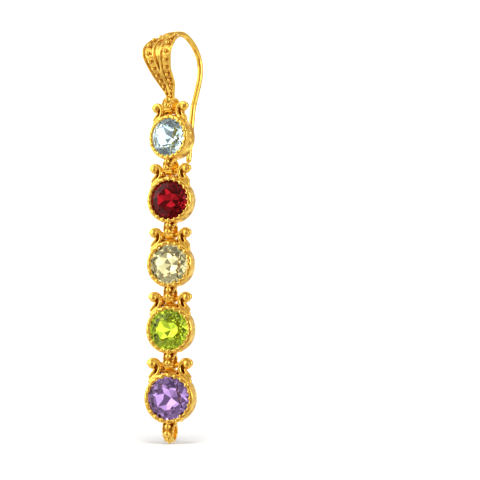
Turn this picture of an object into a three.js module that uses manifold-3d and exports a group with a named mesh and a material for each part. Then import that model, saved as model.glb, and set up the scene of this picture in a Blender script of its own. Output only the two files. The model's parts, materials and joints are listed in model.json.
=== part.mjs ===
// A drop earring of five round stones, each in its own hinged setting, below a leaf-fronted ear wire.
// Millimetres, +Z up, the front towards -Y. The origin is the inside of the ear wire's arch.
import * as THREE from "three";
import { ConvexGeometry } from "three/addons/geometries/ConvexGeometry.js";
import { mergeVertices } from "three/addons/utils/BufferGeometryUtils.js";
import Module from "manifold-3d";

const wasm = await Module();
wasm.setup();

// The five drops from the top. Every drop is one pattern, larger or smaller by its share.
// turn is how far the drop is turned about the hanging line, in degrees.
const DROPS = [
  { share: 0.967, turn: -16, colour: 0xa9d4ea },
  { share: 1.0, turn: -3, colour: 0x7a1017 },
  { share: 1.0, turn: 0, colour: 0xeee3a0 },
  { share: 1.025, turn: 0, colour: 0x8cc81e },
  { share: 1.083, turn: 0, colour: 0x9a72d0 },
];
const HOOK_TURN = -23;

// Pattern sizes of the stone.
const STONE_WIDTH = 6;
const TABLE_WIDTH = 3.3;
const STAR_WIDTH = 4.7;
const KEEL_WIDTH = 1.8;
const CROWN_HEIGHT = 0.9;
const GIRDLE_HEIGHT = 0.14;
const PAVILION_DEPTH = 2.1;
const MAIN_FACETS = 8;

// Pattern sizes of the collet that holds it. Depths are taken from the front of the girdle.
const STONE_CLEARANCE = 0.07;
const RIM_WALL = 0.38;
const BACK_WALL = 0.55;
const TAPER_WIDTH = 0.1;
const RIM_RISE = 0.14;
const SEAT_DEPTH = 0.75;
const COLLET_DEPTH = 2.3;
const TEETH = 20;
const TOOTH_LENGTH = 0.42;
const TOOTH_THICKNESS = 0.24;
const NOTCH_DEPTH = 0.1;

// Where the hanging line runs behind the girdle, through the drop's centre of mass.
const HANG_DEPTH = 0.75;

// Pattern sizes of the strap ring, its beads and the crossbar that hangs in it.
const RING_HOLE = 1.74;
const RING_WALL = 0.36;
const RING_WIDTH = 1.6;
const RING_FOOT_WIDTH = 1.3;
const RING_SIDES = 14;
const BAR_WIDTH = 0.76;
const BAR_SIDES = 10;
const BAR_RUNNING_GAP = 0.12;
const BAR_TO_COLLET = 1.04;
const RING_TO_COLLET = 1.24;
const NECK_DEPTH = 1.4;
const NECK_SINK = 0.2;
const BEAD_WIDTH = 0.95;
const BEAD_SINK = 0.2;
const BEAD_ANGLES = [32, -8];

// Pattern sizes of the scrolls.
const SCROLL_WIRE = 0.62;
const SCROLL_DEPTH = 1.0;
const SCROLL_FORWARD = 0.35;
const SCROLL_GAP = 2.16;
const SCROLL_WIDTH = 2.1;
const SCROLL_HEIGHT = 2.45;
const SCROLL_BALL = 1.3;
const SHOULDER_BEAD = 0.9;
const SHOULDER_TURN = 40;
const SHOULDER_OUT = 0.1;
const SCROLL_SINK = 0.24;
const CURL_STEPS = 9;
const ROOT_STEPS = 3;
const WIRE_SIDES = 6;
const BALL_SIDES = 10;

// The ear wire.
const WIRE_WIDTH = 0.9;
const HOOK_WIRE_SIDES = 8;
const HOOK_WIRE_STEPS = 26;
const ARCH_REACH = 6.85;
const ARCH_HEIGHT = 11.3;
const TAIL_DROP = 8.2;

// The leaf on its front, which ends a little below the top of the arch.
const LEAF_BELOW_ARCH = 0.94;
const LEAF_LEAN = 3.25;
const LEAF_WIDTH = 5.8;
const LEAF_THICKNESS = 0.62;
const LEAF_RAISED = 0.1;
const LEAF_SIDES = 8;
const LEAF_STEPS = 10;
const LEAF_TIP = 0.82;
const LEAF_TIP_LEAST = 0.25;
const LEAF_WIRE_ROOT = 0.82;
const LEAF_RIM = 0.3;
const RIM_SIDES = 5;
const RIM_STEPS = 8;
const LEAF_BEADS = 9;
const LEAF_BEAD_TOP = 1.0;
const LEAF_BEAD_FOOT = 0.55;

const GOLD = new THREE.MeshStandardMaterial({ color: 0xf2b632, metalness: 1, roughness: 0.22 });

// A closed geometry as a solid, and a solid as a geometry.
function solidOf(geometry) {
  const bare = geometry.clone().deleteAttribute("normal").deleteAttribute("uv");
  const merged = mergeVertices(bare, 1e-4);
  return new wasm.Manifold(
    new wasm.Mesh({
      numProp: 3,
      vertProperties: merged.attributes.position.array,
      triVerts: new Uint32Array(merged.index.array),
    }),
  );
}

function geometryOf(solid) {
  const { vertProperties, triVerts } = solid.getMesh();
  const geometry = new THREE.BufferGeometry();
  geometry.setAttribute("position", new THREE.BufferAttribute(new Float32Array(vertProperties), 3));
  geometry.setIndex(new THREE.BufferAttribute(new Uint32Array(triVerts), 1));
  geometry.computeVertexNormals();
  return geometry;
}

// Joins closed shapes into one solid and fills any pinhole that they shut in between them.
function joined(geometries) {
  const add = (whole, next) => whole.add(next);
  const whole = geometries.map(solidOf).reduce(add);
  return geometryOf(whole.decompose().filter((body) => body.volume() > 0).reduce(add));
}

// A rod along a curve. half(t) gives its half widths across the bend and along the bend's axis.
function rod(curve, axis, half, sides, steps) {
  const geometry = new THREE.CylinderGeometry(1, 1, 1, sides, steps);
  const places = geometry.attributes.position;
  for (let i = 0; i < places.count; i += 1) {
    const t = clamp(places.getY(i) + 0.5, 0, 1);
    const along = curve.getTangentAt(t);
    const out = new THREE.Vector3().crossVectors(along, axis).normalize();
    const side = new THREE.Vector3().crossVectors(out, along);
    const [across, deep] = half(t);
    const place = curve.getPointAt(t);
    place.addScaledVector(out, places.getX(i) * across).addScaledVector(side, places.getZ(i) * deep);
    places.setXYZ(i, place.x, place.y, place.z);
  }
  return geometry;
}

const { clamp, degToRad, lerp } = THREE.MathUtils;
const smooth = (points) => new THREE.CatmullRomCurve3(points, false, "centripetal");
const point = (x, y, z) => new THREE.Vector3(x, y, z);
const around = (turn, radius, y) => point(radius * Math.cos(turn), y, radius * Math.sin(turn));

// Turns a lathe's axis, which is Y, to X.
const yToX = (geometry) => geometry.rotateZ(-Math.PI / 2);

// A ball about a point, its poles to the front and the back.
function ball(width, { x, y, z }) {
  const sphere = new THREE.SphereGeometry(width / 2, BALL_SIDES, BALL_SIDES / 2);
  return sphere.rotateX(Math.PI / 2).translate(x, y, z);
}

// How far the tips of the star facets stand above the girdle, for the kites between them to be flat.
function starHeight() {
  const radius = STONE_WIDTH / 2;
  const between = Math.cos(Math.PI / MAIN_FACETS);
  return (CROWN_HEIGHT * (radius - (STAR_WIDTH / 2) * between)) / (radius - TABLE_WIDTH / 2);
}

// A round cut stone: table, star, kite and girdle facets in front, kites and long facets behind.
function stone() {
  const radius = STONE_WIDTH / 2;
  const halfStep = Math.PI / MAIN_FACETS;
  const between = Math.cos(halfStep);
  const keelDepth = PAVILION_DEPTH * (1 - ((KEEL_WIDTH / 2) * between) / radius);
  const corners = [point(0, GIRDLE_HEIGHT + PAVILION_DEPTH, 0)];
  for (let k = 0; k < MAIN_FACETS; k += 1) {
    const main = 2 * k * halfStep;
    const middle = main + halfStep;
    corners.push(around(main, TABLE_WIDTH / 2, -CROWN_HEIGHT));
    corners.push(around(middle, STAR_WIDTH / 2, -starHeight()));
    corners.push(around(middle, KEEL_WIDTH / 2, GIRDLE_HEIGHT + keelDepth));
    for (const turn of [main, middle]) {
      corners.push(around(turn, radius, 0), around(turn, radius, GIRDLE_HEIGHT));
    }
  }
  return new ConvexGeometry(corners).translate(0, -HANG_DEPTH, 0);
}

// The inner wall stands clear of the girdle at the middle of each of its flat sides.
const COLLET_SIDES = 2 * TEETH;
const COLLET_INSIDE = (STONE_WIDTH / 2 + STONE_CLEARANCE) / Math.cos(Math.PI / COLLET_SIDES);
const COLLET_OUTSIDE = COLLET_INSIDE + RIM_WALL;
const BAR_HEIGHT = COLLET_OUTSIDE + BAR_TO_COLLET;
const RING_HEIGHT = COLLET_OUTSIDE + RING_TO_COLLET;
const RING_OUTSIDE = RING_HOLE / 2 + RING_WALL;

// The collet's wall, with a rim of teeth that lean in over the crown and notches between them.
function collet() {
  const radius = STONE_WIDTH / 2;
  const backOutside = COLLET_OUTSIDE - TAPER_WIDTH;
  const backInside = backOutside - BACK_WALL;
  const tip = COLLET_INSIDE - TOOTH_LENGTH;
  const crownAtTip = ((radius - tip) * starHeight()) / (radius - STAR_WIDTH / 2);
  const under = -Math.max(crownAtTip, 0) - STONE_CLEARANCE;
  const profile = (lip) =>
    [
      [COLLET_INSIDE, GIRDLE_HEIGHT],
      [COLLET_INSIDE, -STONE_CLEARANCE],
      ...lip,
      [COLLET_OUTSIDE, -RIM_RISE],
      [backOutside, COLLET_DEPTH],
      [backInside, COLLET_DEPTH],
      [backInside, SEAT_DEPTH],
      [COLLET_INSIDE, GIRDLE_HEIGHT],
    ].map(([across, depth]) => new THREE.Vector2(across, depth - HANG_DEPTH));
  const tooth = profile([
    [tip, under],
    [tip + TOOTH_THICKNESS / 2, under - TOOTH_THICKNESS],
  ]);
  const notch = profile([
    [COLLET_INSIDE, -RIM_RISE],
    [COLLET_INSIDE + RIM_WALL / 2, -RIM_RISE - NOTCH_DEPTH],
  ]);
  const wall = new THREE.LatheGeometry(tooth, COLLET_SIDES);
  const places = wall.attributes.position;
  for (let i = 0; i < places.count; i += 1) {
    const side = Math.floor(i / tooth.length);
    if (side % 2 === 0) continue;
    const turn = (2 * Math.PI * side) / COLLET_SIDES;
    const { x: across, y: depth } = notch[i % tooth.length];
    places.setXYZ(i, across * Math.sin(turn), depth, across * Math.cos(turn));
  }
  return wall;
}

// A short neck joins the strap ring to the collet above it.
function neck() {
  const top = -COLLET_OUTSIDE + NECK_SINK;
  const foot = -RING_HEIGHT + RING_HOLE / 2 + RING_WALL / 2;
  return new THREE.BoxGeometry(RING_WIDTH, NECK_DEPTH, top - foot).translate(0, 0, (top + foot) / 2);
}

// The strap ring is round a left-right hole and narrows towards its foot, with two beads on its front.
function strapRing(height) {
  const profile = [
    [RING_HOLE / 2, -RING_WIDTH / 2],
    [RING_OUTSIDE, -RING_WIDTH / 2],
    [RING_OUTSIDE, RING_WIDTH / 2],
    [RING_HOLE / 2, RING_WIDTH / 2],
    [RING_HOLE / 2, -RING_WIDTH / 2],
  ].map(([radius, along]) => new THREE.Vector2(radius, along));
  const strap = yToX(new THREE.LatheGeometry(profile, RING_SIDES));
  const places = strap.attributes.position;
  for (let i = 0; i < places.count; i += 1) {
    const share = (places.getZ(i) + RING_OUTSIDE) / (2 * RING_OUTSIDE);
    places.setX(i, places.getX(i) * lerp(RING_FOOT_WIDTH / RING_WIDTH, 1, share));
  }
  const out = RING_OUTSIDE + BEAD_WIDTH / 2 - BEAD_SINK;
  const beads = BEAD_ANGLES.map((degrees) => {
    const angle = degToRad(degrees);
    return ball(BEAD_WIDTH, point(0, -out * Math.cos(angle), out * Math.sin(angle)));
  });
  return [strap, ...beads].map((piece) => piece.translate(0, 0, height));
}

// One scroll, on the side that side gives: 1 for the right, -1 for the left.
// across and up are shares of the scroll's width and height, from its inner side and its foot.
const CURL = [
  { across: 0.79, up: -0.36 },
  { across: 0.53, up: -0.15 },
  { across: 0.27, up: 0.05 },
  { across: 0.16, up: 0.3 },
  { across: 0.2, up: 0.56 },
  { across: 0.41, up: 0.77 },
  { across: 0.7, up: 0.81 },
  { across: 0.91, up: 0.69 },
  { across: 0.94, up: 0.52 },
];
const ROOT = [
  { across: 0.51, up: 0.32 },
  { across: 0.58, up: 0.16 },
  { across: 0.72, up: -0.01 },
  { across: 0.89, up: -0.2 },
];
const BALL = { across: 0.68, up: 0.56 };
const SCROLL_FOOT = COLLET_OUTSIDE - SCROLL_SINK;

function scroll(side) {
  const place = ({ across, up }) =>
    point(
      side * (SCROLL_GAP / 2 + across * SCROLL_WIDTH),
      -SCROLL_FORWARD,
      SCROLL_FOOT + up * SCROLL_HEIGHT,
    );
  const strand = (rows, steps) =>
    rod(
      smooth(rows.map(place)),
      point(0, 1, 0),
      () => [SCROLL_WIRE / 2, SCROLL_DEPTH / 2],
      WIRE_SIDES,
      steps,
    );
  const shoulder = around(degToRad(SHOULDER_TURN), COLLET_OUTSIDE + SHOULDER_OUT, -SCROLL_FORWARD);
  return [
    strand(CURL, CURL_STEPS),
    strand(ROOT, ROOT_STEPS),
    ball(SCROLL_BALL, place(BALL)),
    ball(SHOULDER_BEAD, shoulder.multiply(point(side, 1, 1))),
  ];
}

// The crossbar runs between the inner sides of the scrolls, a little way into both.
function crossbar() {
  const length = SCROLL_GAP + SCROLL_WIRE;
  const bar = new THREE.CylinderGeometry(BAR_WIDTH / 2, BAR_WIDTH / 2, length, BAR_SIDES);
  return yToX(bar).translate(0, 0, BAR_HEIGHT);
}

const setting = () =>
  joined([
    collet(),
    neck(),
    ...scroll(1),
    ...scroll(-1),
    crossbar(),
    ...strapRing(-RING_HEIGHT),
  ]);

// The leaf seen from its side and its front.
// up, out and wide are shares of its height, lean and width, from just above the strap ring.
const LEAF = [
  { up: -0.03, out: 0.0, wide: 0.2 },
  { up: 0.08, out: 0.08, wide: 0.3 },
  { up: 0.2, out: 0.24, wide: 0.49 },
  { up: 0.32, out: 0.5, wide: 0.6 },
  { up: 0.43, out: 0.75, wide: 0.69 },
  { up: 0.6, out: 0.96, wide: 0.87 },
  { up: 0.7, out: 1.0, wide: 0.96 },
  { up: 0.81, out: 0.88, wide: 1.0 },
  { up: 0.93, out: 0.52, wide: 0.9 },
  { up: 1.0, out: 0.0, wide: 0.7 },
];
// The middle and the half width of each strip of the leaf, as shares of the leaf's half width.
const STRIPS = [
  { middle: -0.6, half: 0.4 },
  { middle: 0, half: 0.26 },
  { middle: 0.6, half: 0.4 },
];
const LEAF_EDGES = [-0.96, -0.26, 0.26, 0.96];
const LEAF_ROWS = [-0.6, 0.6];
const LEAF_FOOT = RING_OUTSIDE + LEAF_RAISED;
const LEAF_HEIGHT = ARCH_HEIGHT - LEAF_BELOW_ARCH - LEAF_FOOT;

// The leaf's middle line, moved sideways by a share of its half width and forwards by a length.
function leafLine(share, forward) {
  return smooth(
    LEAF.map(({ up, out, wide }) =>
      point((share * wide * LEAF_WIDTH) / 2, -out * LEAF_LEAN - forward, LEAF_FOOT + up * LEAF_HEIGHT),
    ),
  );
}

const leafHalfWidth = smooth(
  LEAF.map(({ up, wide }) => point((wide * LEAF_WIDTH) / 2, 0, up * LEAF_HEIGHT)),
);

// Narrows a strip from LEAF_TIP on, as a share of its length, to a round tip.
function tipShare(t) {
  const past = Math.max(0, (t - LEAF_TIP) / (1 - LEAF_TIP));
  return Math.max(LEAF_TIP_LEAST, Math.sqrt(1 - past ** 2));
}

function leafStrip({ middle, half }) {
  const least = LEAF_THICKNESS / 2;
  const section = (t) => [
    least * tipShare(t),
    Math.max(least, leafHalfWidth.getPointAt(t).x * half) * tipShare(t),
  ];
  return rod(leafLine(middle, 0), point(1, 0, 0), section, LEAF_SIDES, LEAF_STEPS);
}

function leafRim(share) {
  const radius = LEAF_RIM / 2;
  const line = leafLine(share, (LEAF_THICKNESS - radius) / 2);
  return rod(line, point(1, 0, 0), () => [radius, radius], RIM_SIDES, RIM_STEPS);
}

// A row of beads that grow in width and in spacing from the foot of a lobe to its top.
function leafBeads(share) {
  const line = leafLine(share, LEAF_THICKNESS / 2);
  const growth = LEAF_BEAD_TOP / LEAF_BEAD_FOOT;
  const along = (k) => (growth ** (k / LEAF_BEADS) - 1) / (growth - 1);
  return Array.from({ length: LEAF_BEADS }, (_, k) => {
    const width = LEAF_BEAD_FOOT * growth ** ((k + 0.5) / LEAF_BEADS);
    return ball(width, line.getPointAt(along(k + 0.5)));
  });
}

// The arch of the ear wire, seen from its side.
// back and up are shares of the arch's reach and height. Below the strap ring, up is a share of
// the tail's drop.
const ARCH = [
  { back: -0.2, up: 0.93 },
  { back: 0.07, up: 0.985 },
  { back: 0.38, up: 1.0 },
  { back: 0.61, up: 0.95 },
  { back: 0.8, up: 0.86 },
  { back: 0.93, up: 0.75 },
  { back: 0.99, up: 0.64 },
  { back: 1.0, up: 0.55 },
  { back: 0.97, up: 0.43 },
  { back: 0.89, up: 0.28 },
  { back: 0.8, up: 0.12 },
  { back: 0.74, up: 0 },
  { back: 0.66, up: -0.5 },
  { back: 0.59, up: -1 },
];
const ARCH_TOP = { back: 0.38, up: 1.0 };
const archPlace = ({ back, up }) => point(0, back * ARCH_REACH, up * (up < 0 ? TAIL_DROP : ARCH_HEIGHT));

// The wire starts inside the leaf.
function earWire() {
  const round = () => [WIRE_WIDTH / 2, WIRE_WIDTH / 2];
  const root = leafLine(0, 0).getPointAt(LEAF_WIRE_ROOT);
  const curve = smooth([root, ...ARCH.map(archPlace)]);
  return [
    rod(curve, point(1, 0, 0), round, HOOK_WIRE_SIDES, HOOK_WIRE_STEPS),
    ball(WIRE_WIDTH, archPlace(ARCH.at(-1))),
  ];
}

const earHook = () =>
  joined([
    ...earWire(),
    ...STRIPS.map(leafStrip),
    ...LEAF_EDGES.map(leafRim),
    ...LEAF_ROWS.flatMap(leafBeads),
    ...strapRing(0),
  ]);

function named(name, geometry, material) {
  const mesh = new THREE.Mesh(geometry, material);
  mesh.name = name;
  return mesh;
}

// The hanging line passes through the middle of the ear wire's ring. The inside of the arch is
// over the origin.
const archTop = archPlace(ARCH_TOP).add(point(0, 0, -WIRE_WIDTH / 2));
const hookTurn = degToRad(HOOK_TURN);
const earring = new THREE.Group();
const hanging = new THREE.Group();
hanging.position.copy(archTop.applyAxisAngle(point(0, 0, 1), hookTurn).negate());
earring.add(hanging);
const hook = named("ear_hook", earHook(), GOLD);
hook.rotation.z = hookTurn;
hanging.add(hook);

const settingShape = setting();
const stoneShape = stone();
let above = { group: hanging, ringHeight: 0, turn: 0, share: 1 };
DROPS.forEach(({ share, turn, colour }, k) => {
  const slack = (RING_HOLE / 2) * above.share - (BAR_WIDTH / 2) * share - BAR_RUNNING_GAP;
  const drop = new THREE.Group();
  drop.position.z = above.ringHeight - slack;
  drop.rotation.z = degToRad(turn - above.turn);
  const glass = new THREE.MeshStandardMaterial({ color: colour, metalness: 0, roughness: 0.05 });
  for (const mesh of [
    named(`setting_${k + 1}`, settingShape, GOLD),
    named(`stone_${k + 1}`, stoneShape, glass),
  ]) {
    mesh.scale.setScalar(share);
    mesh.position.z = -BAR_HEIGHT * share;
    drop.add(mesh);
  }
  above.group.add(drop);
  above = { group: drop, ringHeight: -(BAR_HEIGHT + RING_HEIGHT) * share, turn, share };
});

export default earring;
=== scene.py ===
"""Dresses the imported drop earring: gilt metal, granulation and five cut stones, on a pale stage."""

import json
import math

import bmesh
import bpy
import numpy as np
from bpy.props import FloatProperty, FloatVectorProperty, IntProperty, PointerProperty
from mathutils import Matrix, Vector


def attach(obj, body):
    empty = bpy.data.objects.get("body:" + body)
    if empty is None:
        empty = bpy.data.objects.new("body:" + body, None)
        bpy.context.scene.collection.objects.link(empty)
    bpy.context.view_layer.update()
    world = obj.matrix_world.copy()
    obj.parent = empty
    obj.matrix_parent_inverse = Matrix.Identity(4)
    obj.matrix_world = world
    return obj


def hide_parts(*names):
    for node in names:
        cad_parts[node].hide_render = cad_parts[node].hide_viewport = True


bl_info = {
    "name": "Drop earring of five hinged stones",
    "version": (1, 0, 0),
    "blender": (4, 5, 0),
    "location": "3D View > Sidebar > Earring",
    "description": "Builds a long drop earring in gilt metal and cut stones round its packed frame",
    "category": "Add Mesh",
}

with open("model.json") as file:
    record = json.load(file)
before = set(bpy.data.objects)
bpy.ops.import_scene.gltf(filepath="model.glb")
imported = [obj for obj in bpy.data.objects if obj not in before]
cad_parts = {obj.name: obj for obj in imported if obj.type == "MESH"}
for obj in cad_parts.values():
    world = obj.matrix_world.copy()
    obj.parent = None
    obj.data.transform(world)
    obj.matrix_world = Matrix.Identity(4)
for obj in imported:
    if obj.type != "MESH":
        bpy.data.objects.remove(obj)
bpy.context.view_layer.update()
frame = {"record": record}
JOINTS = frame["record"]["behaviour"]["joints"]
MM = 0.001

# The five drops from the top: each one's share of the pattern's size, and its stone.
DROPS = (
    {"share": 0.967, "colour": "pale_blue", "ior": 1.61},
    {"share": 1.0, "colour": "dark_red", "ior": 1.76},
    {"share": 1.0, "colour": "pale_yellow", "ior": 1.55},
    {"share": 1.025, "colour": "green", "ior": 1.67},
    {"share": 1.083, "colour": "violet", "ior": 1.55},
)


def length(name, description, default_mm):
    """A length that a user would change, given here in millimetres."""
    return FloatProperty(
        name=name, description=description, default=default_mm * MM, unit="LENGTH", precision=5
    )


def angle(name, description, degrees):
    """An angle that a user would change, given here in degrees."""
    return FloatProperty(
        name=name, description=description, default=math.radians(degrees), unit="ROTATION"
    )


def hue(name, description, default):
    """A colour that a user would change."""
    return FloatVectorProperty(name=name, description=description, subtype="COLOR", default=default)


class EARRING_PG_stone(bpy.types.PropertyGroup):
    """Sizes and colours of the cut stones, for the pattern drop."""

    width: length("Stone width", "Width of the stone across its girdle", 6.0)
    table: length("Table width", "Width of the flat facet on top", 3.3)
    star: length("Star width", "Width across the tips of the star facets", 4.6)
    crown: length("Crown height", "Height of the table above the girdle", 0.9)
    girdle: length("Girdle height", "Height of the stone's edge", 0.14)
    pavilion: length("Pavilion depth", "Depth of the stone behind its girdle", 2.15)
    belt: length("Belt width", "Width across the middle corners of the lower facets", 4.2)
    belt_depth: length("Belt depth", "Depth of those corners behind the girdle", 0.95)
    keel: length("Keel width", "Width across the inner ends of the lower facets", 2.2)
    keel_depth: length("Keel depth", "Depth of those ends behind the girdle", 1.68)
    pale_blue: hue("Pale blue", "Colour of the first stone", (0.64, 0.83, 0.88))
    dark_red: hue("Dark red", "Colour of the second stone", (0.28, 0.004, 0.010))
    pale_yellow: hue("Pale yellow", "Colour of the third stone", (0.97, 0.88, 0.44))
    green: hue("Green", "Colour of the fourth stone", (0.64, 0.84, 0.05))
    violet: hue("Violet", "Colour of the fifth stone", (0.48, 0.29, 0.66))


class EARRING_PG_setting(bpy.types.PropertyGroup):
    """Sizes of the soldered setting, for the pattern drop."""

    hang_depth: length("Hanging depth", "How far the hanging line runs behind the girdle", 0.75)
    rim_inside: length("Collet inside radius", "Radius of the wall round the girdle", 3.08)
    rim_outside: length("Collet outside radius", "Outer radius of the collet at its rim", 3.46)
    lip: length("Lip", "How far the rim leans in over the stone's edge", 0.2)
    taper: length("Taper", "How much narrower the collet is at its back", 0.1)
    back_wall: length("Back wall", "Thickness of the wall behind the seat", 0.55)
    seat: length("Seat depth", "Depth of the seat under the stone", 0.75)
    depth: length("Collet depth", "Depth of the collet behind the girdle", 2.3)
    claws: IntProperty(name="Claws", description="Claws round the rim", default=20, min=8, max=40)
    claw_reach: length("Claw reach", "How far a claw leans in over the stone", 0.34)
    claw_width: length("Claw width", "Width of a claw at the rim", 0.6)
    ring_hole: length("Ring hole", "Width of the strap ring's hole", 1.74)
    ring_wall: length("Ring wall", "Thickness of the strap", 0.36)
    ring_width: length("Ring width", "Width of the strap at the top of the ring", 1.7)
    ring_foot: length("Ring foot width", "Width of the strap at the foot of the ring", 1.2)
    ring_below: length("Ring below collet", "From the collet's edge to the middle of the ring", 1.24)
    bar_above: length("Bar above collet", "From the collet's edge to the middle of the crossbar", 1.04)
    bar: length("Bar width", "Width of the crossbar", 0.76)
    granule: length("Granule width", "Width of the two granules on a strap ring", 0.95)
    shoulder: length("Shoulder granule width", "Width of the granule below each scroll", 0.86)
    edge_granule: length("Edge granule width", "Width of the fine granules on the strap's edges", 0.4)
    scroll_wire: length("Scroll wire", "Width of the scroll's wire, seen from the front", 0.62)
    scroll_depth: length("Scroll depth", "Depth of the scroll's wire, from front to back", 1.0)
    scroll_forward: length("Scroll forward", "How far the scrolls stand in front of the bar", 0.35)
    scroll_gap: length("Scroll gap", "Gap between the two scrolls", 2.16)
    scroll_width: length("Scroll width", "Width of one scroll", 2.1)
    scroll_height: length("Scroll height", "Height of one scroll", 2.45)
    scroll_ball: length("Scroll ball", "Width of the ball at the scroll's end", 1.34)
    seed: IntProperty(name="Seed", description="Seed of the small differences between granules", default=5)


class EARRING_PG_ear_wire(bpy.types.PropertyGroup):
    """Sizes of the ear wire and its leaf."""

    turn: angle("Turn", "Turn of the ear wire about the hanging line", -23)
    wire: length("Wire width", "Width of the ear wire", 0.9)
    reach: length("Arch reach", "From the ring's middle back to the far side of the arch", 6.85)
    height: length("Arch height", "From the ring's middle up to the top of the arch", 11.3)
    tail: length("Tail drop", "How far the tail hangs below the ring", 8.2)
    leaf_below: length("Leaf below arch", "From the top of the arch down to the top of the leaf", 0.94)
    leaf_lean: length("Leaf lean", "How far the leaf stands forward", 3.25)
    leaf_width: length("Leaf width", "Width of the leaf", 5.7)
    leaf_thickness: length("Leaf thickness", "Thickness of the leaf's plate", 0.36)
    rim: length("Rim width", "Width of the wire round each petal", 0.36)
    granule_top: length("Top granule width", "Width of the granules at the top of a lobe", 0.86)
    granule_foot: length("Foot granule width", "Width of the granules at the foot of a lobe", 0.5)
    granules: IntProperty(name="Granules", description="Granules in each row", default=11, min=3, max=20)


class EARRING_PG_metal(bpy.types.PropertyGroup):
    """Colour and finish of the gilt metal, with the colour of the shade painted into its recesses."""

    gold: hue("Gold", "Colour of the polished gold", (0.98, 0.68, 0.13))
    # Deep gold is painted shade: the colour that the gold is darkened to in its recesses.
    deep: hue("Deep gold", "Colour of the gold in its recesses", (0.38, 0.10, 0.003))
    roughness: FloatProperty(
        name="Roughness", description="Roughness of the polished gold", default=0.16, min=0, max=1
    )


class EARRING_PG_stage(bpy.types.PropertyGroup):
    """Sizes of the stage and of the camera's place."""

    floor: length("Floor below the top", "From the ear wire's arch down to the floor", 60.93)
    azimuth: angle("Azimuth", "Turn of the camera about the earring", 14.2)
    distance: length("Distance", "From the camera to the earring", 210)
    eye: length("Eye below the top", "From the ear wire's arch down to the camera's height", 45)
    aim_below: length("Aim below the top", "From the ear wire's arch down to the picture's middle", 30.9)
    aim_right: length("Aim beside", "From the hanging line to the picture's middle", 10.25)
    lens: FloatProperty(
        name="Lens", description="Focal length", default=106.2, min=20, max=300, unit="CAMERA"
    )


class EARRING_PG_all(bpy.types.PropertyGroup):
    """Everything that the earring is made from."""

    stone: PointerProperty(type=EARRING_PG_stone)
    setting: PointerProperty(type=EARRING_PG_setting)
    ear_wire: PointerProperty(type=EARRING_PG_ear_wire)
    metal: PointerProperty(type=EARRING_PG_metal)
    stage: PointerProperty(type=EARRING_PG_stage)


def in_mm(group):
    """The lengths of a property group in millimetres, and its other values as they are."""
    values = {}
    for key, prop in group.bl_rna.properties.items():
        if key in ("rna_type", "name"):
            continue
        value = getattr(group, key)
        values[key] = value / MM if getattr(prop, "unit", "") == "LENGTH" else value
    return values


# Shapes are pairs of an array of places and a list of faces, in millimetres.


def joined(shapes):
    """Several shapes as one."""
    places, faces, count = [], [], 0
    for shape_places, shape_faces in shapes:
        places.append(np.asarray(shape_places, float))
        faces += [tuple(count + i for i in face) for face in shape_faces]
        count += len(shape_places)
    return np.vstack(places), faces


def moved(shape, matrix):
    """A shape taken through a matrix."""
    places, faces = shape
    m = np.array(matrix)
    return np.asarray(places) @ m[:3, :3].T + m[:3, 3], faces


def along(points, steps):
    """A smooth path of steps + 1 places, evenly spaced, through a few points."""
    p = np.array(points, float)
    p = np.vstack([2 * p[0] - p[1], p, 2 * p[-1] - p[-2]])
    fine = []
    for a, b, c, d in zip(p, p[1:], p[2:], p[3:]):
        slope = c - a
        bend = 2 * a - 5 * b + 4 * c - d
        twist = 3 * b - a - 3 * c + d
        for t in np.linspace(0, 1, 24, endpoint=False):
            fine.append(0.5 * (2 * b + slope * t + bend * t**2 + twist * t**3))
    fine = np.array(fine + [p[-2]])
    run = np.concatenate([[0], np.cumsum(np.linalg.norm(np.diff(fine, axis=0), axis=1))])
    want = np.linspace(0, run[-1], steps + 1)
    return np.column_stack([np.interp(want, run, fine[:, i]) for i in range(3)])


def loft(sections, closed_ends=True):
    """A skin over sections of one number of places each, its ends closed by fans."""
    rows, sides = len(sections), len(sections[0])
    places = [p for section in sections for p in section]
    faces = []
    for i in range(rows - 1):
        for k in range(sides):
            n = (k + 1) % sides
            faces.append((i * sides + k, i * sides + n, (i + 1) * sides + n, (i + 1) * sides + k))
    if closed_ends:
        for row in (0, rows - 1):
            middle = len(places)
            places.append(np.mean(sections[row], axis=0))
            faces += [(middle, row * sides + k, row * sides + (k + 1) % sides) for k in range(sides)]
    return np.array(places), faces


def turned(profile, sides):
    """A closed profile of (radius, along Y) turned about the Y axis."""
    sections = []
    for k in range(sides):
        turn = 2 * math.pi * k / sides
        sections.append([(r * math.cos(turn), y, r * math.sin(turn)) for r, y in profile])
    return loft(sections + sections[:1], closed_ends=False)


def squared(value, power):
    """A sine or cosine brought nearer to 1 or -1, which squares a round section."""
    return math.copysign(abs(value) ** power, value)


def rounded(corners, radius):
    """A closed outline with its corners rounded."""
    out = []
    count, steps = len(corners), 4
    for i in range(count):
        here = Vector(corners[i])
        before = Vector(corners[i - 1]) - here
        after = Vector(corners[(i + 1) % count]) - here
        cut = min(radius, before.length / 2.2, after.length / 2.2)
        a, b = here + before.normalized() * cut, here + after.normalized() * cut
        for k in range(steps + 1):
            t = k / steps
            out.append(tuple(a * (1 - t) ** 2 + here * 2 * t * (1 - t) + b * t**2))
    return out


def mesh_of(name, shape, smooth=True):
    """A mesh from a shape, its faces pointing outwards."""
    places, faces = shape
    mesh = bpy.data.meshes.new(name)
    mesh.from_pydata([tuple(p) for p in places], [], faces)
    shell = bmesh.new()
    shell.from_mesh(mesh)
    bmesh.ops.remove_doubles(shell, verts=shell.verts, dist=1e-6)
    bmesh.ops.recalc_face_normals(shell, faces=shell.faces)
    for face in shell.faces:
        face.smooth = smooth
    shell.to_mesh(mesh)
    shell.free()
    return mesh


def placed(name, data):
    """A new object in the scene."""
    made = bpy.data.objects.new(name, data)
    bpy.context.collection.objects.link(made)
    return made


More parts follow.
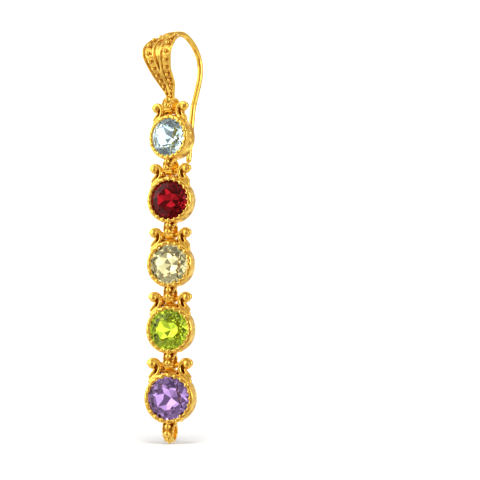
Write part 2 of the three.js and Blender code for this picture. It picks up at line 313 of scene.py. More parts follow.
def harvested(carrier):
    """The shape that an object's modifiers make. The object and its mesh are gone afterwards."""
    evaluated = carrier.evaluated_get(bpy.context.evaluated_depsgraph_get())
    made = bpy.data.meshes.new_from_object(evaluated)
    bare = carrier.data
    carrier.modifiers.clear()
    bpy.data.objects.remove(carrier)
    bpy.data.meshes.remove(bare)
    result = shape_of(made)
    bpy.data.meshes.remove(made)
    return result


# The solder's finest detail in millimetres, and how often it is smoothed.
SOLDER_GRAIN = 0.07
SOLDER_PASSES = 2


def soldered(shape):
    """Overlapping shapes as one skin, its inner corners filled as solder fills them."""
    carrier = placed("soldering", mesh_of("soldering", shape))
    skin = carrier.modifiers.new("skin", "REMESH")
    skin.mode = "VOXEL"
    skin.voxel_size = SOLDER_GRAIN
    flow = carrier.modifiers.new("flow", "SMOOTH")
    flow.factor = 0.5
    flow.iterations = SOLDER_PASSES
    return harvested(carrier)


def shape_of(mesh):
    """A shape from a mesh."""
    places = np.empty(len(mesh.vertices) * 3)
    mesh.vertices.foreach_get("co", places)
    return places.reshape(-1, 3), [tuple(p.vertices) for p in mesh.polygons]


# Nodes.


def adder(tree):
    """A function that adds a node to a tree.

    values holds its settings and constants, feeds what its first sockets get, and links what named ones get.
    """

    def add(kind, values=(), feeds=(), **links):
        node = tree.nodes.new(kind)
        for key, value in dict(values).items():
            if isinstance(key, int) or key in node.inputs:
                node.inputs[key].default_value = value
            else:
                setattr(node, key, value)
        for socket, source in enumerate(feeds):
            tree.links.new(source, node.inputs[socket])
        for key, source in links.items():
            tree.links.new(source, node.inputs[key.replace("_", " ")])
        return node

    return add


# Geometry Nodes: wires along paths, granules on points, and claws round a rim.


def new_tree(name, inputs):
    """A geometry tree with its inputs and a metal, its two end nodes, and a function that adds a node."""
    tree = bpy.data.node_groups.new(name, "GeometryNodeTree")
    tree.interface.new_socket("Geometry", in_out="INPUT", socket_type="NodeSocketGeometry")
    for label, kind in {**inputs, "Metal": "Material"}.items():
        tree.interface.new_socket(label, in_out="INPUT", socket_type="NodeSocket" + kind)
    tree.interface.new_socket("Geometry", in_out="OUTPUT", socket_type="NodeSocketGeometry")
    start = tree.nodes.new("NodeGroupInput")
    end = tree.nodes.new("NodeGroupOutput")
    return tree, start, end, adder(tree)


def finish_tree(tree, start, end, add, geometry):
    """Ends a tree in real faces, smooth, in the metal that the tree is given."""
    real = add("GeometryNodeRealizeInstances", Geometry=geometry)
    smooth = add("GeometryNodeSetShadeSmooth", Geometry=real.outputs[0])
    metal = add("GeometryNodeSetMaterial", Geometry=smooth.outputs[0], Material=start.outputs["Metal"])
    tree.links.new(metal.outputs[0], end.inputs[0])
    return tree


def wire_tree():
    """A round wire along each path of a mesh, whose half_width is the wire's half width there."""
    tree, start, end, add = new_tree("Wire along a path", {"Sides": "Int", "Depth share": "Float"})
    path = add("GeometryNodeMeshToCurve", Mesh=start.outputs["Geometry"])
    ring = add("GeometryNodeCurvePrimitiveCircle", {"Radius": 1.0}, Resolution=start.outputs["Sides"])
    half = add("GeometryNodeInputNamedAttribute", {"data_type": "FLOAT", "Name": "half_width"})
    wire = add(
        "GeometryNodeCurveToMesh",
        {"Fill Caps": True},
        Curve=path.outputs[0],
        Profile_Curve=ring.outputs[0],
        Scale=half.outputs["Attribute"],
    )
    scale = add("ShaderNodeCombineXYZ", {"X": 1.0, "Z": 1.0}, Y=start.outputs["Depth share"])
    deep = add("GeometryNodeTransform", Geometry=wire.outputs[0], Scale=scale.outputs[0])
    return finish_tree(tree, start, end, add, deep.outputs[0])


def granule_tree():
    """A granule on each point of a mesh, whose width is the granule's width there."""
    tree, start, end, add = new_tree("Granules on points", {"Fineness": "Int", "Seed": "Int"})
    points = add("GeometryNodeMeshToPoints", Mesh=start.outputs["Geometry"])
    granule = add("GeometryNodeMeshIcoSphere", {"Radius": 0.5}, Subdivisions=start.outputs["Fineness"])
    width = add("GeometryNodeInputNamedAttribute", {"data_type": "FLOAT", "Name": "width"})
    spread_of_sizes = {"data_type": "FLOAT", 2: 0.95, 3: 1.0}
    uneven = add("FunctionNodeRandomValue", spread_of_sizes, Seed=start.outputs["Seed"])
    factors = (width.outputs["Attribute"], uneven.outputs[1])
    size = add("ShaderNodeMath", {"operation": "MULTIPLY"}, factors)
    spread = add(
        "GeometryNodeInstanceOnPoints",
        Points=points.outputs[0],
        Instance=granule.outputs["Mesh"],
        Scale=size.outputs[0],
    )
    return finish_tree(tree, start, end, add, spread.outputs[0])


def claw_tree():
    """Copies of the claw that it is given, turned evenly about the Y axis, each a little different."""
    tree, start, end, add = new_tree("Claws round a rim", {"Claws": "Int", "Seed": "Int"})
    places = add("GeometryNodeMeshLine", {"Offset": (0, 0, 0)}, Count=start.outputs["Claws"])
    index = add("GeometryNodeInputIndex")
    step = add("ShaderNodeMath", {"operation": "DIVIDE", 0: 2 * math.pi})
    tree.links.new(start.outputs["Claws"], step.inputs[1])
    turn = add("ShaderNodeMath", {"operation": "MULTIPLY"}, (index.outputs[0], step.outputs[0]))
    about = add("ShaderNodeCombineXYZ", Y=turn.outputs[0])
    uneven = add(
        "FunctionNodeRandomValue",
        {"data_type": "FLOAT_VECTOR", 0: (0.975, 0.94, 0.6), 1: (1.0, 1.02, 1.25)},
        Seed=start.outputs["Seed"],
    )
    spread = add(
        "GeometryNodeInstanceOnPoints",
        Points=places.outputs[0],
        Instance=start.outputs["Geometry"],
        Rotation=about.outputs[0],
        Scale=uneven.outputs[0],
    )
    return finish_tree(tree, start, end, add, spread.outputs[0])


def grown(tree, mesh, **values):
    """The shape that a tree makes from a mesh."""
    carrier = placed(mesh.name, mesh)
    modifier = carrier.modifiers.new(tree.name, "NODES")
    modifier.node_group = tree
    for item in tree.interface.items_tree:
        if item.in_out == "INPUT" and item.name in values:
            modifier[item.identifier] = values[item.name]
    return harvested(carrier)


def wires(paths, sides, depth_share=1.0):
    """Round wires along paths. Each path is (places, half widths)."""
    places, edges, halves = [], [], []
    for path, half in paths:
        first = len(places)
        places += [tuple(p) for p in path]
        halves += list(np.broadcast_to(half, len(path)))
        edges += [(i, i + 1) for i in range(first, len(places) - 1)]
    mesh = bpy.data.meshes.new("wire_paths")
    mesh.from_pydata(places, edges, [])
    half_width = mesh.attributes.new("half_width", "FLOAT", "POINT")
    half_width.data.foreach_set("value", np.array(halves, np.float32))
    values = {"Sides": sides, "Depth share": float(depth_share), "Metal": gold()}
    return grown(shared_tree(wire_tree), mesh, **values)


def granules(rows, seed):
    """Granules on (place, width) pairs."""
    mesh = bpy.data.meshes.new("granule_places")
    mesh.from_pydata([tuple(place) for place, _ in rows], [], [])
    widths = np.array([width for _, width in rows], np.float32)
    mesh.attributes.new("width", "FLOAT", "POINT").data.foreach_set("value", widths)
    return grown(shared_tree(granule_tree), mesh, Fineness=3, Seed=seed, Metal=gold())


def claws(claw, count, seed):
    """Claws round a rim, from the one that stands at angle 0."""
    values = {"Claws": count, "Seed": seed, "Metal": gold()}
    return grown(shared_tree(claw_tree), mesh_of("claw", claw), **values)


TREES = {}


def shared_tree(make):
    """A tree that is made once."""
    if make.__name__ not in TREES:
        TREES[make.__name__] = make()
    return TREES[make.__name__]


# Materials.


def new_material(name):
    """A node material, its shader, a function that adds a node, and the links."""
    material = bpy.data.materials.new(name)
    material.use_nodes = True
    tree = material.node_tree
    return material, tree.nodes["Principled BSDF"], adder(tree), tree.links


def gold():
    """Polished gilt metal, rougher where polishing doesn't reach, with painted shade that deepens its colour
    in its recesses.
    """
    found = bpy.data.materials.get("polished_gold")
    if found:
        return found
    look = bpy.context.scene.earring.metal
    material, shader, add, links = new_material("polished_gold")
    place = add("ShaderNodeTexCoord").outputs["Object"]
    recess = add("ShaderNodeAmbientOcclusion", {"Distance": 0.7 * MM, "samples": 6, "only_local": True})
    depth = add("ShaderNodeMapRange", {"From Min": 0.35, "From Max": 0.85}, Value=recess.outputs["AO"])
    cloud = add("ShaderNodeTexNoise", {"Scale": 420.0, "Detail": 4.0}, Vector=place)
    fine = add("ShaderNodeTexNoise", {"Scale": 5200.0, "Detail": 3.0}, Vector=place)
    # Painted shade: the colour goes from gold to deep gold where the occlusion finds a recess.
    ends = {"data_type": "RGBA", 6: (*look.deep, 1), 7: (*look.gold, 1)}
    tint = add("ShaderNodeMix", ends, (depth.outputs[0],))
    warm = add("ShaderNodeHueSaturation", Color=tint.outputs[2])
    tone = add("ShaderNodeMapRange", {"To Min": 0.94, "To Max": 1.04}, Value=cloud.outputs[0])
    links.new(tone.outputs[0], warm.inputs["Value"])
    links.new(warm.outputs[0], shader.inputs["Base Color"])
    rough = add(
        "ShaderNodeMapRange",
        {"To Min": look.roughness + 0.14, "To Max": look.roughness},
        Value=recess.outputs["AO"],
    )
    scuffed = {"From Min": 0.35, "From Max": 0.75, "To Max": 0.06}
    scuff = add("ShaderNodeMapRange", scuffed, Value=fine.outputs[0])
    total = add("ShaderNodeMath", {"operation": "ADD"}, (rough.outputs[0], scuff.outputs[0]))
    links.new(total.outputs[0], shader.inputs["Roughness"])
    dents = add("ShaderNodeBump", {"Strength": 0.12, "Distance": 0.02 * MM}, Height=cloud.outputs[0])
    links.new(dents.outputs[0], shader.inputs["Normal"])
    shader.inputs["Metallic"].default_value = 1.0
    return material


def gem(name, colour, ior):
    """A clear cut stone whose colour lies in faint zones."""
    material, shader, add, links = new_material(name)
    place = add("ShaderNodeTexCoord").outputs["Object"]
    zones = add("ShaderNodeTexNoise", {"Scale": 260.0, "Detail": 3.0}, Vector=place)
    tone = add("ShaderNodeMapRange", {"To Min": 0.88, "To Max": 1.06}, Value=zones.outputs[0])
    tint = add("ShaderNodeHueSaturation", {"Color": (*colour, 1)})
    links.new(tone.outputs[0], tint.inputs["Value"])
    links.new(tint.outputs[0], shader.inputs["Base Color"])
    wear = add("ShaderNodeTexNoise", {"Scale": 3000.0, "Detail": 2.0}, Vector=place)
    worn = {"From Min": 0.55, "From Max": 0.8, "To Max": 0.03}
    polish = add("ShaderNodeMapRange", worn, Value=wear.outputs[0])
    links.new(polish.outputs[0], shader.inputs["Roughness"])
    shader.inputs["Transmission Weight"].default_value = 1.0
    shader.inputs["IOR"].default_value = ior
    shader.inputs["Specular Tint"].default_value = (0.15, 0.15, 0.15, 1)
    return material


def piece(name, shape, matrix, material, body, nodes, smooth=True):
    """A finished piece, in metres in the frame, that rides on its body and stands for its nodes."""
    mesh = mesh_of(name, moved(shape, matrix), smooth)
    mesh.materials.append(material)
    made = placed(name, mesh)
    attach(made, body)
    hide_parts(*nodes)
    return made


def drop_matrix(number, s):
    """From the pattern drop about its stone, in millimetres, to a drop's place in the frame, in metres."""
    joint = JOINTS[number - 1]
    turn = math.atan2(joint["axis"][1], joint["axis"][0])
    share = DROPS[number - 1]["share"]
    bar_height = s["rim_outside"] + s["bar_above"]
    return (
        Matrix.Translation(joint["pos_m"])
        @ Matrix.Rotation(turn, 4, "Z")
        @ Matrix.Translation((0, 0, -bar_height * share * MM))
        @ Matrix.Scale(share * MM, 4)
    )


# The setting.

# across and up are shares of a scroll's width and height, from its inner side and its foot.
CURL = (
    (0.79, -0.36), (0.53, -0.15), (0.27, 0.05), (0.16, 0.3), (0.2, 0.56),
    (0.41, 0.77), (0.7, 0.81), (0.91, 0.69), (0.94, 0.52),
)
ROOT = ((0.51, 0.32), (0.58, 0.16), (0.72, -0.01), (0.89, -0.2))
BALL = (0.68, 0.56)
# Lengths from here on are in millimetres on the pattern drop, and turns start at the front of a ring.
SCROLL_SINK = 0.24
SHOULDER_TURN = math.radians(40)
SHOULDER_OUT = 0.1
GRANULE_TURNS = (math.radians(35), math.radians(-2))
FREE_GRANULE_TURNS = (math.radians(-44), math.radians(-74))
FREE_GRANULE_SHARE = 1.4
GRANULE_SINK = 0.2
# The fine granules on a strap's edges. The low ones lie deeper, clear of the rim that swings past.
EDGE_TURNS = [math.radians(74 - 21 * k) for k in range(9)]
EDGE_HIGH = 5
EDGE_INSET = 0.08
EDGE_RAISED = 0.02
EDGE_SUNK = -0.08
EDGE_SUNK_SHARE = 0.75
# The granule where the neck meets the rim's front.
NECK_GRANULE = {"back": 0.05, "below": 0.1, "width": 0.8}
# The row of granules round the collet, which leaves the top free for the ring.
SIDE_ROW = {"back": 0.95, "sink": 0.16, "width": 0.62, "free_above": 0.9}
# The solder behind a scroll's ball. share is a share of the ball's distance from the middle.
BALL_SOLDER = {"share": 0.78, "back": 0.1, "below": 0.5, "width": 0.85}
# Solder between the rim and the crossbar: beside the middle, back, above the rim, and width.
RIM_SOLDER = ((1.0, 0, 0.12, 0.5), (1.08, 0.35, 0.45, 0.44), (2.0, 0.25, 0.05, 0.75))
# The neck: its half depth and its share of the ring's width, how both grow, and its end inside the collet.
NECK = {"half_depth": 0.62, "deeper": 0.12, "width_share": 0.97, "wider": 0.3, "sink": 0.25}
CLAW_HALF_THICKNESS = 0.12
CORNER = 0.09
# The low wall behind the crossbar.
LEDGE = {"back": 1.3, "above": 0.1, "half_length": 1.3, "half_width": 0.24}


def collet(s):
    """The wall round the stone: a plain band with a soft rim, a seat and an open back."""
    back_outside = s["rim_outside"] - s["taper"]
    back_inside = back_outside - s["back_wall"]
    inside, outside = s["rim_inside"], s["rim_outside"]
    outline = [
        (inside, 0.14),
        (inside, -0.04),
        (inside - s["lip"], -0.19),
        (inside - s["lip"], -0.3),
        (inside, -0.42),
        (outside - 0.08, -0.36),
        (outside + 0.03, -0.16),
        (outside + 0.03, 0.12),
        (outside - 0.1, 0.26),
        (outside, 0.42),
        (back_outside + 0.1, 0.55 * s["depth"]),
        (back_outside, s["depth"]),
        (back_inside, s["depth"]),
        (back_inside, s["seat"]),
    ]
    profile = rounded(outline, CORNER)
    return turned([(r, y - s["hang_depth"]) for r, y in profile], 144)


def claw(s):
    """One claw at angle 0: a low ridge up the band that bends in over the stone."""
    inside, outside = s["rim_inside"], s["rim_outside"]
    path = along(
        [
            (outside - 0.14, 0.3, 0),
            (outside - 0.03, 0.12, 0),
            (outside - 0.07, -0.14, 0),
            (outside - 0.2, -0.38, 0),
            (inside - 0.1, -0.44, 0),
            (inside - s["claw_reach"], -0.4, 0),
        ],
        14,
    )
    sections = []
    for i, place in enumerate(path):
        t = i / (len(path) - 1)
        ahead = path[min(i + 1, len(path) - 1)] - path[max(i - 1, 0)]
        ahead /= np.linalg.norm(ahead)
        out = np.array([ahead[1], -ahead[0], 0.0])
        half = s["claw_width"] / 2 * math.sqrt(max(0.02, math.sin(math.pi * min(1, 0.12 + 0.86 * t)) ** 1.2))
        thick = CLAW_HALF_THICKNESS * (0.35 + 0.65 * math.sin(math.pi * (0.1 + 0.8 * t)))
        section = []
        for a in np.linspace(0, 2 * math.pi, 14, endpoint=False):
            section.append(place + out * (thick * math.cos(a)) + np.array([0, 0, half * math.sin(a)]))
        sections.append(section)
    return moved(loft(sections), Matrix.Translation((0, -s["hang_depth"], 0)))


def neck(s):
    """A saddle that joins the strap ring to the collet."""
    ring_at = -(s["rim_outside"] + s["ring_below"])
    top, foot = -s["rim_outside"] + NECK["sink"], ring_at + s["ring_hole"] / 2 + s["ring_wall"] / 2
    sections = []
    for t in np.linspace(0, 1, 9):
        z = foot + (top - foot) * t
        half = s["ring_width"] / 2 * (NECK["width_share"] + NECK["wider"] * t**2)
        deep = NECK["half_depth"] + NECK["deeper"] * t
        turns = np.linspace(0, 2 * math.pi, 40, endpoint=False)
        section = [(half * squared(math.cos(a), 0.5), deep * squared(math.sin(a), 0.5), z) for a in turns]
        sections.append(section)
    return loft(sections)


def strap_ring(s, height):
    """The strap bent round a left-right hole, narrower at its foot."""
    inner, outer = s["ring_hole"] / 2, s["ring_hole"] / 2 + s["ring_wall"]
    half = s["ring_width"] / 2
    profile = rounded([(inner, -half), (outer, -half), (outer, half), (inner, half)], 0.1)
    places, faces = turned(profile, 64)
    places = np.asarray(places)[:, [1, 0, 2]]
    share = (places[:, 2] + outer) / (2 * outer)
    narrow = s["ring_foot"] / s["ring_width"]
    places[:, 0] *= narrow + (1 - narrow) * share
    return moved((places, faces), Matrix.Translation((0, 0, height)))


def on_ring(across, out, turn, height):
    """A place on a left-right ring, from a turn that starts at its front and goes up."""
    return (across, -out * math.cos(turn), height + out * math.sin(turn))


def ring_granules(s, height):
    """Places and widths of the granules on a strap ring: two large in front, fine ones along both edges."""
    outer = s["ring_hole"] / 2 + s["ring_wall"]
    out = outer + s["granule"] / 2 - GRANULE_SINK
    rows = [(on_ring(0, out, turn, height), s["granule"]) for turn in GRANULE_TURNS]
    for side in (-1, 1):
        for k, turn in enumerate(EDGE_TURNS):
            share = (math.sin(turn) + 1) / 2
            half = (s["ring_foot"] * (1 - share) + s["ring_width"] * share) / 2
            high = k < EDGE_HIGH
            reach = outer + (EDGE_RAISED if high else EDGE_SUNK)
            at = on_ring(side * (half - EDGE_INSET), reach, turn, height)
            rows.append((at, s["edge_granule"] * (1 if high else EDGE_SUNK_SHARE)))
    return rows


def scroll_paths(s, side):
    """The two strands of one scroll and the place of its ball, before they are moved forward."""

    def place(across, up):
        x = side * (s["scroll_gap"] / 2 + across * s["scroll_width"])
        return (x, 0, s["rim_outside"] - SCROLL_SINK + up * s["scroll_height"])

    half = s["scroll_wire"] / 2
    curl = along([place(*row) for row in CURL], 40)
    root = along([place(*row) for row in ROOT], 12)
    thick = half * np.interp(np.linspace(0, 1, 41), [0, 0.2, 0.7, 1], [0.8, 1.1, 1.0, 0.85])
    thin = half * np.interp(np.linspace(0, 1, 13), [0, 0.5, 1], [0.6, 0.9, 0.8])
    return [(curl, thick), (root, thin)], place(*BALL)


def setting_granules(s, balls, ring_at, free_ring):
    """Places and widths of a setting's granules and lumps of solder, from the places of its balls."""
    rim = s["rim_outside"]
    spots = ring_granules(s, ring_at)
    neck_at = (0, -s["hang_depth"] + NECK_GRANULE["back"], -rim - NECK_GRANULE["below"])
    spots.append((neck_at, NECK_GRANULE["width"]))
    if free_ring:
        out = s["ring_hole"] / 2 + s["ring_wall"]
        for turn in FREE_GRANULE_TURNS:
            spots.append((on_ring(0, out, turn, ring_at), s["edge_granule"] * FREE_GRANULE_SHARE))
    reach = rim - SIDE_ROW["sink"]
    for k in range(s["claws"]):
        turn = 2 * math.pi * (k + 0.5) / s["claws"]
        if math.sin(turn) <= SIDE_ROW["free_above"]:
            place = (reach * math.cos(turn), SIDE_ROW["back"] - s["hang_depth"], reach * math.sin(turn))
            spots.append((place, SIDE_ROW["width"]))
    shoulder = rim + SHOULDER_OUT
    for side, ball in zip((-1, 1), balls):
        spots.append(((ball[0], -s["scroll_forward"], ball[2]), s["scroll_ball"]))
        behind = (ball[0] * BALL_SOLDER["share"], BALL_SOLDER["back"], ball[2] - BALL_SOLDER["below"])
        spots.append((behind, BALL_SOLDER["width"]))
        for beside, back, above, width in RIM_SOLDER:
            spots.append(((side * beside, back, rim + above), width))
        across, up = side * shoulder * math.cos(SHOULDER_TURN), shoulder * math.sin(SHOULDER_TURN)
        spots.append(((across, -s["scroll_forward"], up), s["shoulder"]))
    return spots


def level_bar(half_length, back, height, half_width, sides):
    """A straight wire from left to right."""
    places = [(x, back, height) for x in np.linspace(-half_length, half_length, 9)]
    return wires([(places, half_width)], sides)


def setting_shape(s, seed, free_ring):
    """A whole setting, soldered from its collet, claws, neck, strap ring, scrolls, crossbar and granules."""
    bar_at = s["rim_outside"] + s["bar_above"]
    ring_at = -(s["rim_outside"] + s["ring_below"])
    strands, balls = [], []
    for side in (-1, 1):
        paths, ball = scroll_paths(s, side)
        strands += paths
        balls.append(ball)
    spots = setting_granules(s, balls, ring_at, free_ring)
    scrolls = wires(strands, 20, s["scroll_depth"] / s["scroll_wire"])
    half_bar = (s["scroll_gap"] + s["scroll_wire"]) / 2
    ledge_at = s["rim_outside"] + LEDGE["above"]
    return joined(
        [
            level_bar(LEDGE["half_length"], LEDGE["back"], ledge_at, LEDGE["half_width"], 16),
            collet(s),
            claws(claw(s), s["claws"], seed),
            neck(s),
            strap_ring(s, ring_at),
            moved(scrolls, Matrix.Translation((0, -s["scroll_forward"], 0))),
            level_bar(half_bar, 0, bar_at, s["bar"] / 2, 24),
            granules(spots, seed),
        ]
    )


# The stone.


def stone_shape(g, hang_depth):
    """A round cut: table, stars, kites and girdle facets in front, three rows of facets behind."""
    radius, mains = g["width"] / 2, 8
    step = math.pi / mains

    def ring(r, y, turns):
        return [(r * math.cos(t), y, r * math.sin(t)) for t in turns]

    at_mains = [2 * k * step for k in range(mains)]
    between = [t + step for t in at_mains]
    sixteen = [k * step for k in range(2 * mains)]
    star_height = g["crown"] * (radius - g["star"] / 2 * math.cos(step)) / (radius - g["table"] / 2)
    points = ring(g["table"] / 2, -g["crown"], at_mains)
    points += ring(g["star"] / 2, -star_height, between)
    points += ring(radius, 0, sixteen)
    points += ring(radius, g["girdle"], sixteen)
    points += ring(g["belt"] / 2, g["girdle"] + g["belt_depth"], at_mains)
    points += ring(g["keel"] / 2, g["girdle"] + g["keel_depth"], between)
    points.append((0, g["girdle"] + g["pavilion"], 0))
    hull = bmesh.new()
    for p in points:
        hull.verts.new(p)
    bmesh.ops.convex_hull(hull, input=hull.verts)
    bmesh.ops.dissolve_limit(hull, angle_limit=math.radians(0.4), verts=hull.verts, edges=hull.edges)
    mesh = bpy.data.meshes.new("cut")
    hull.to_mesh(mesh)
    hull.free()
    shape = shape_of(mesh)
    bpy.data.meshes.remove(mesh)
    return moved(shape, Matrix.Translation((0, -hang_depth, 0)))


# The ear wire.

# back and up are shares of the arch's reach and height. Below the ring, up is a share of the tail.
ARCH = (
    (-0.2, 0.912), (0.07, 0.968), (0.38, 1.0), (0.61, 0.95), (0.8, 0.86),
    (0.93, 0.75), (0.99, 0.64), (1.0, 0.55), (0.97, 0.43), (0.89, 0.28),
    (0.8, 0.12), (0.74, 0.0), (0.66, -0.5), (0.59, -1.0),
)
ARCH_TOP = 0.38
# up, out and wide are shares of the leaf's height, lean and width.
LEAF = (
    (-0.03, 0.0, 0.2), (0.08, 0.08, 0.3), (0.2, 0.24, 0.49), (0.32, 0.5, 0.6),
    (0.43, 0.75, 0.69), (0.6, 0.96, 0.87), (0.7, 1.0, 0.96), (0.81, 0.88, 1.0),
    (0.93, 0.52, 0.9), (1.0, 0.0, 0.7),
)
PETALS = ((-1, "lobe"), (0, "middle"), (1, "lobe"))
# at is a share of the leaf's height; middle and half are shares of its half width.
PETAL = {
    "lobe": {"at": (0, 0.3, 0.6, 1), "middle": (0.5, 0.52, 0.62, 0.64), "half": (0.5, 0.48, 0.37, 0.34)},
    "middle": {"at": (0, 0.25, 0.6, 1), "middle": (0, 0, 0, 0), "half": (0.04, 0.06, 0.25, 0.32)},
}
# The share of its height at which a petal starts to narrow, and how wide its tip stays.
LEAF_TIP = 0.82
TIP_SHARE = 0.2
LEAF_STEPS = 50
# The arch springs from this step of the leaf's middle line.
ARCH_ROOT = 41
ARCH_STEPS = 220
TAIL_STEPS = 6
PETAL_STEPS = 60
FINE_STEPS = 400
# Lengths: the petals' hollows, the leaf over its ring, the granules and rims on the petals, the beads' shift.
DISH = {"lobe": 0.14, "middle": 0.2}
LEAF_RAISED = 0.1
ROW_RAISED = 0.14
RIM_RAISED = 0.02
RIM_INSET = 0.08
BEAD_SHIFT = 0.3


def leaf_foot(s):
    """Height of the leaf's foot above the middle of the ear wire's ring."""
    return s["ring_hole"] / 2 + s["ring_wall"] + LEAF_RAISED


def leaf_line(w, s, share, steps):
    """The leaf's middle line, moved sideways by a share of its half width."""
    foot = leaf_foot(s)
    tall = w["height"] - w["leaf_below"] - foot
    rows = []
    for up, out, wide in LEAF:
        rows.append((share * wide * w["leaf_width"] / 2, -out * w["leaf_lean"], foot + up * tall))
    return along(rows, steps)


def tip_share(t):
    """Narrows a petal to a round tip."""
    past = max(0.0, (t - LEAF_TIP) / (1 - LEAF_TIP))
    return max(TIP_SHARE, math.sqrt(max(0.0, 1 - past**2)))


def leaf_frames(w, s, side, kind, steps):
    """A petal's middle line: places, half widths, directions outwards, and how much the tip narrows there."""
    spine = leaf_line(w, s, 0, steps)
    wide = leaf_line(w, s, 1, steps)[:, 0]
    table = PETAL[kind]
    frames = []
    for i, place in enumerate(spine):
        t = i / steps
        ahead = spine[min(i + 1, steps)] - spine[max(i - 1, 0)]
        ahead /= np.linalg.norm(ahead)
        out = np.cross([1, 0, 0], ahead)
        middle = side * np.interp(t, table["at"], table["middle"]) * wide[i]
        reach = np.interp(t, table["at"], table["half"]) * wide[i] * tip_share(t)
        frames.append((place + [middle, 0, 0], max(0.05, reach), out / np.linalg.norm(out), tip_share(t)))
    return frames


def petal(w, frames, dish):
    """One petal: a thin plate with a soft edge, hollowed in front by dish, and the line of its rim."""
    sections, edges = [], ([], [])
    for i, (place, reach, out, tip) in enumerate(frames):
        thick = w["leaf_thickness"] / 2 * min(1.0, 0.5 + tip)
        hollow = dish * min(1.0, 3 * i / len(frames)) * tip
        section = []
        for a in np.linspace(0, 2 * math.pi, 32, endpoint=False):
            u, v = squared(math.sin(a), 0.7), squared(math.cos(a), 0.6)
            dip = hollow * (1 - u**2) if v > 0 else 0
            section.append(place + np.array([u * reach, 0, 0]) + out * (v * thick - dip))
        sections.append(section)
        for edge, sign in zip(edges, (-1, 1)):
            beside = np.array([sign * max(0.0, reach - RIM_INSET), 0, 0])
            edge.append(place + beside + out * (thick + RIM_RAISED))
    return loft(sections), edges[0] + edges[1][::-1]


def ear_wire_shape(w, s, seed):
    """The whole ear wire: arch, leaf of three petals with rims, rows of granules, and strap ring."""
    reach, height = w["reach"], w["height"]
    rows = [tuple(leaf_line(w, s, 0, LEAF_STEPS)[ARCH_ROOT])]
    for back, up in ARCH:
        rows.append((0, back * reach, up * (w["tail"] if up < 0 else height)))
    arch = along(rows, ARCH_STEPS)
    radius = w["wire"] / 2
    half = np.full(len(arch), radius)
    half[-TAIL_STEPS:] = radius * np.sqrt(1 - np.linspace(0, 1, TAIL_STEPS) ** 2 * 0.98)
    shapes = [wires([(arch, half)], 28)]
    rims, spots = [], []
    growth = w["granule_top"] / w["granule_foot"]
    count = w["granules"]
    for side, kind in PETALS:
        frames = leaf_frames(w, s, side, kind, PETAL_STEPS)
        plate, edge = petal(w, frames, DISH[kind])
        shapes.append(plate)
        rims.append((edge, np.full(len(edge), w["rim"] / 2)))
        if kind == "middle":
            continue
        fine = leaf_frames(w, s, side, kind, FINE_STEPS)
        for k in range(count):
            larger = growth ** ((k + 0.5) / count)
            place, _, out, _ = fine[round((larger - 1) / (growth - 1) * FINE_STEPS)]
            raised = w["leaf_thickness"] / 2 + ROW_RAISED
            spots.append((place + out * raised, w["granule_foot"] * larger))
    shapes.append(wires(rims, 12))
    for k, ((x, y, z), width) in enumerate(ring_granules(s, 0)):
        shift = BEAD_SHIFT if k < len(GRANULE_TURNS) else 0
        spots.append(((x + shift, y, z), width))
    shapes += [granules(spots, seed), strap_ring(s, 0)]
    return joined(shapes)


def hook_matrix(w):
    """From the ear wire about its ring, in millimetres, to its place in the frame, in metres."""
    top = Vector((0, ARCH_TOP * w["reach"], w["height"] - w["wire"] / 2))
    turn = Matrix.Rotation(w["turn"], 4, "Z")
    return Matrix.Translation(-(turn @ top) * MM) @ turn @ Matrix.Scale(MM, 4)


class EARRING_OT_ear_wire(bpy.types.Operator):
    """Build the ear wire with its leaf"""

    bl_idname = "earring.ear_wire"
    bl_label = "Ear wire"

    def execute(self, context):
        look = context.scene.earring
        w, s = in_mm(look.ear_wire), in_mm(look.setting)
        shape = soldered(ear_wire_shape(w, s, s["seed"]))
        piece("ear_wire_and_leaf", shape, hook_matrix(w), gold(), "ear_wire", ["ear_hook"])
        return {"FINISHED"}


class EARRING_OT_settings(bpy.types.Operator):
    """Build the five settings"""

    bl_idname = "earring.settings"
    bl_label = "Settings"

    def execute(self, context):
        s = in_mm(context.scene.earring.setting)
        for number in range(1, len(DROPS) + 1):
            shape = soldered(setting_shape(s, s["seed"] + number, number == len(DROPS)))
            matrix = drop_matrix(number, s)
            name = f"toothed_setting_{number}"
            piece(name, shape, matrix, gold(), f"drop_{number}", [f"setting_{number}"])
        return {"FINISHED"}


# Each stone is turned this much further in its setting than the one above.
STONE_TURN = math.radians(11)


class EARRING_OT_stones(bpy.types.Operator):
    """Cut the five stones"""

    bl_idname = "earring.stones"
    bl_label = "Stones"

    def execute(self, context):
        look = context.scene.earring
        g, s = in_mm(look.stone), in_mm(look.setting)
        shape = stone_shape(g, s["hang_depth"])
        for number, drop in enumerate(DROPS, 1):
            material = gem(f"{drop['colour']}_gem", g[drop["colour"]], drop["ior"])
            turn = Matrix.Rotation(STONE_TURN * number, 4, "Y")
            matrix = drop_matrix(number, s) @ turn
            name = f"cut_stone_{number}"
            slot, nodes = f"{drop['colour']}_stone", [f"stone_{number}"]
            piece(name, shape, matrix, material, f"drop_{number}", nodes, smooth=False)
        return {"FINISHED"}


# Each light at the sides: its place in metres, its size in metres and its power in watts.
SIDE_LIGHTS = (
    {"name": "left_softbox", "place": (-0.42, -0.30, 0.16), "size": 0.45, "power": 1.0},
    {"name": "right_softbox", "place": (0.50, -0.20, 0.10), "size": 0.26, "power": 0.65},
)
# The light above stands a little towards the camera, so the shadow falls under the earring.
TOP_LIGHT = {"towards_camera": 0.15, "height": 0.42, "size": 0.14, "power": 2.0}
LIT_PLACE = (0, 0, -0.03)


def softbox(name, place, size, power):
    """A square light that points at the earring."""
    light = bpy.data.lights.new(name, "AREA")
    light.size, light.energy = size, power
    lamp = placed(name, light)
    lamp.location = place
    lamp.rotation_euler = (Vector(LIT_PLACE) - Vector(place)).to_track_quat("-Z", "Y").to_euler()
    return lamp


